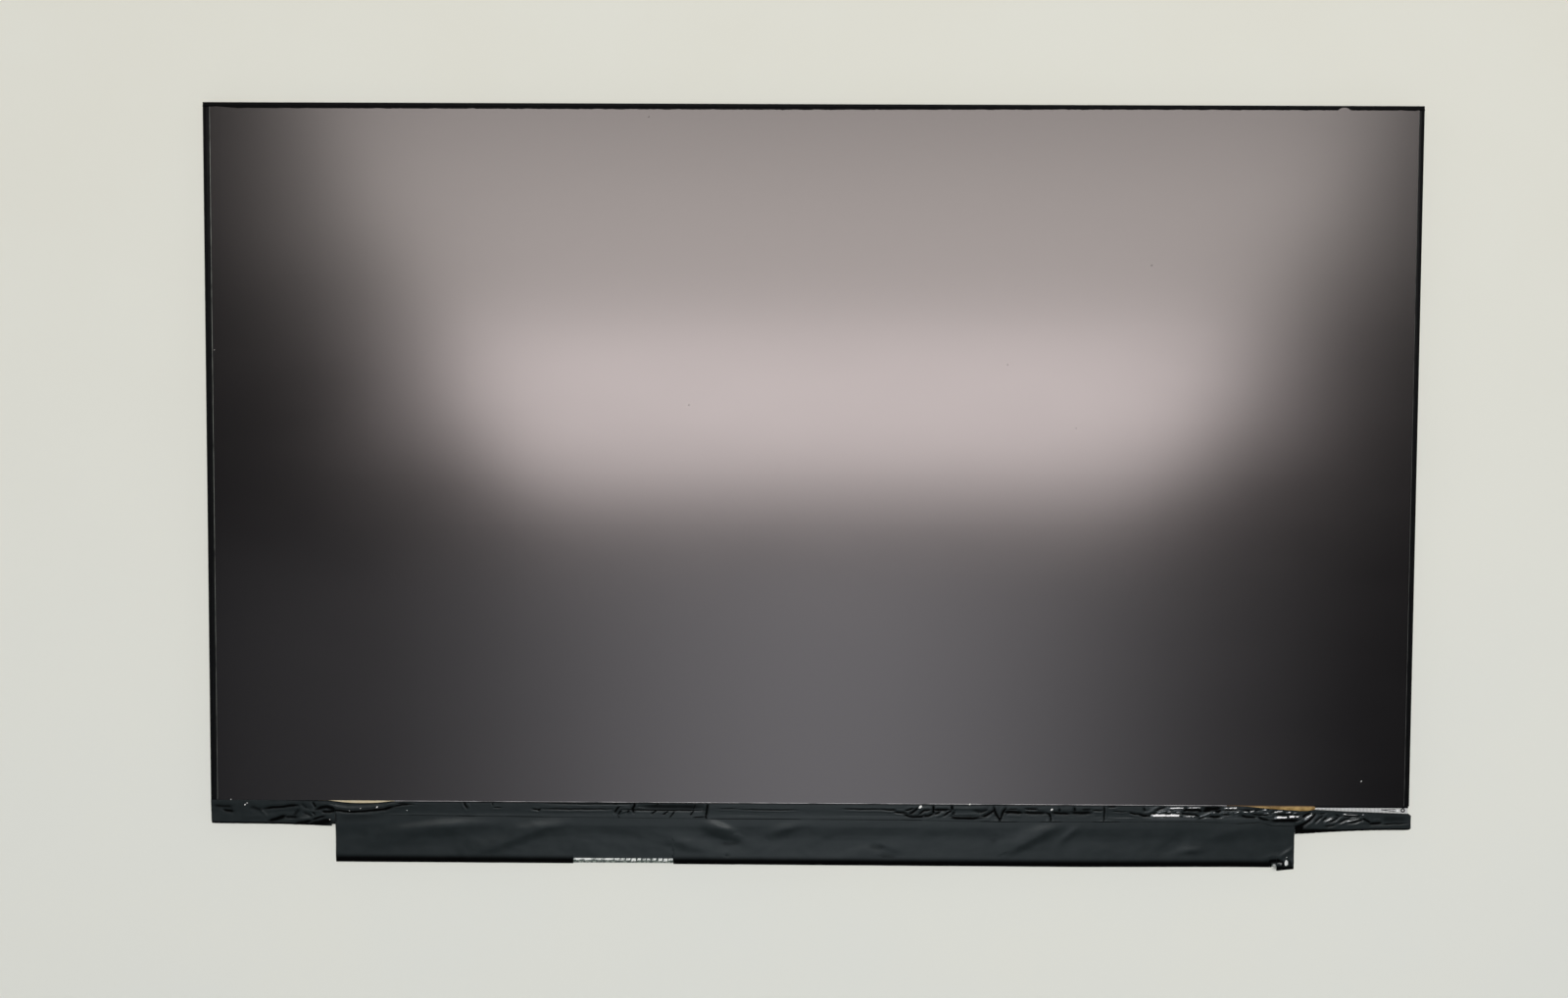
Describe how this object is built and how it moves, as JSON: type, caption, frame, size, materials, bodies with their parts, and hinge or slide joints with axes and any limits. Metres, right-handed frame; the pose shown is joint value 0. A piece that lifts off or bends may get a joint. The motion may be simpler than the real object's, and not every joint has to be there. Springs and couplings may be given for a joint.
{
  "type": "laptop screen panel",
  "caption": "Bare liquid-crystal laptop screen panel: matt screen in a thin taped tray, with a taped circuit board and cable receptacle along its lower edge.",
  "frame": {"origin": "centre of the body's outline, on the rear face of the back cover", "axes": "+X across the screen to the right, +Y up the screen, +Z out of the screen; lies screen up"},
  "size_m": [0.3158, 0.1998, 0.0025],
  "materials": {
    "screen_film": "matt anti-glare film",
    "clear_film": "dark grey film",
    "border_glass": "polished, black-backed border",
    "ledge_glass": "polished, with fine metal tracks",
    "black_tape": "semi-matt, creased",
    "rear_film": "satin",
    "polyimide": "glossy amber",
    "sheet_metal": "satin",
    "frame_plastic": "fine moulded grain",
    "white_sheet": "white",
    "prism_sheet": "finely ribbed",
    "acrylic": "clear",
    "flex_circuit": "white cover layer",
    "led_phosphor": "yellow phosphor",
    "chip_silicon": "dark grey",
    "board_laminate": "green solder mask",
    "chip_moulding": "black moulding",
    "ferrite": "dark grey",
    "capacitor_ceramic": "tan",
    "resistor_ceramic": "black",
    "connector_moulding": "ivory",
    "gold_plating": "gold plated",
    "connector_steel": "tin plated"
  },
  "bodies": {
    "root": {"front_polarizer": "screen_film", "rear_polarizer": "clear_film", "color_filter_glass": "border_glass", "array_glass": "ledge_glass", "board_tape": "black_tape", "chin_tape": "black_tape", "left_edge_tape": "black_tape", "right_edge_tape": "black_tape", "top_edge_tape": "black_tape", "rim_tape": "black_tape", "rear_film": "rear_film", "bond_strip": "polyimide", "driver_film_1": "polyimide", "driver_film_2": "polyimide", "driver_film_3": "polyimide", "driver_film_4": "polyimide", "back_cover": "sheet_metal", "moulded_frame": "frame_plastic", "reflector_sheet": "white_sheet", "diffuser_sheet": "white_sheet", "lower_prism_sheet": "prism_sheet", "upper_prism_sheet": "prism_sheet", "light_guide_plate": "acrylic", "light_bar_flex": "flex_circuit", "backlight_leds": "led_phosphor", "driver_chip_1": "chip_silicon", "driver_chip_2": "chip_silicon", "driver_chip_3": "chip_silicon", "driver_chip_4": "chip_silicon", "circuit_board": "board_laminate", "timing_controller": "chip_moulding", "memory_chip": "chip_moulding", "power_controller": "chip_moulding", "backlight_driver": "chip_moulding", "power_inductors": "ferrite", "board_capacitors": "capacitor_ceramic", "board_resistors": "resistor_ceramic", "connector_housing": "connector_moulding", "connector_contacts": "gold_plating", "connector_shell": "connector_steel"}
  },
  "joints": []
}
